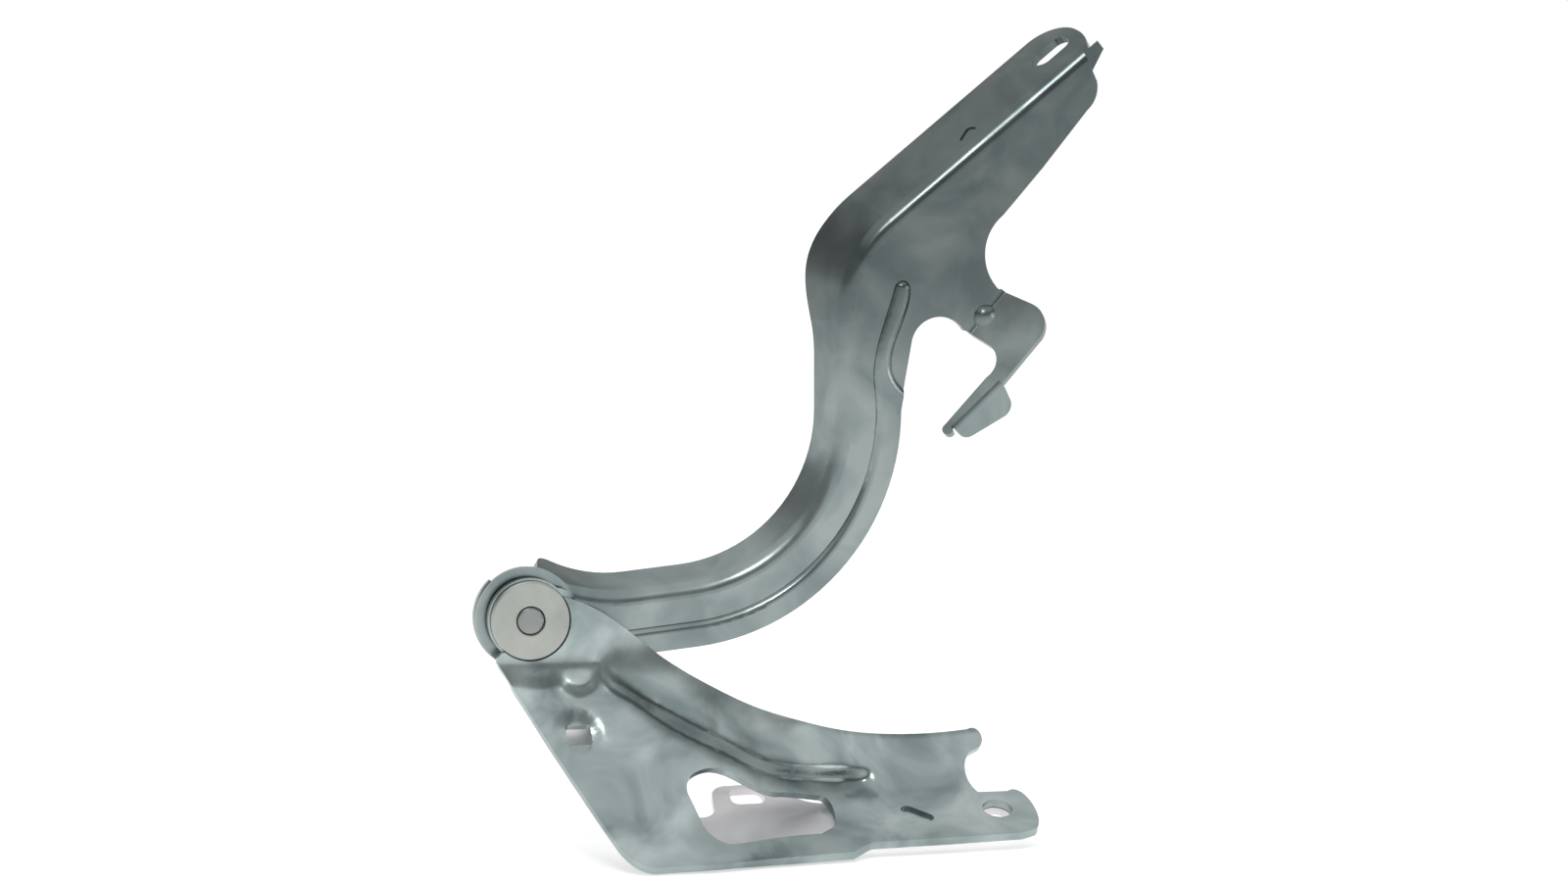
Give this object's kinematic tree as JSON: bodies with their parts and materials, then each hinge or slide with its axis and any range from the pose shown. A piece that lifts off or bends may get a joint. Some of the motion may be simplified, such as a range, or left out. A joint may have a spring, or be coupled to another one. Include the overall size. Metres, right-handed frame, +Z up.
{
  "type": "bonnet hinge",
  "caption": "Pressed-steel gooseneck bonnet hinge: two-plate body bracket, riveted pivot and a swept arm with a slotted end, stiffening rib and hook tab.",
  "frame": {"origin": "pivot centre on the front face of the pivot disc", "axes": "+X from the pivot towards the bracket's fixing ear, +Y along the pivot axis towards the arm's side, +Z up"},
  "size_m": [0.2369, 0.0913, 0.2964],
  "materials": {
    "zinc_steel": "zinc-plated pressed steel, blue-grey sheen",
    "zinc_steel_foot": "zinc-plated pressed steel, paler",
    "zinc_steel_arm": "zinc-plated pressed steel, darker sheen",
    "rivet_steel": "turned steel rivet, plated",
    "disc_steel": "plated steel washer, warm grey",
    "bush_liner": "dark low-friction liner"
  },
  "bodies": {
    "bracket": {"body_bracket": "zinc_steel", "foot_plate": "zinc_steel_foot", "pivot_rivet": "rivet_steel", "pivot_disc": "disc_steel", "spacer_washer": "disc_steel", "rear_washer": "disc_steel"},
    "arm": {"hinge_arm": "zinc_steel_arm", "pivot_bush": "bush_liner"}
  },
  "joints": [
    {"name": "bonnet_pivot", "type": "hinge", "parent": "bracket", "child": "arm", "pos_m": [0, 0.0095, 0], "axis": [0, 1, 0], "range_deg": [0, 36]}
  ]
}
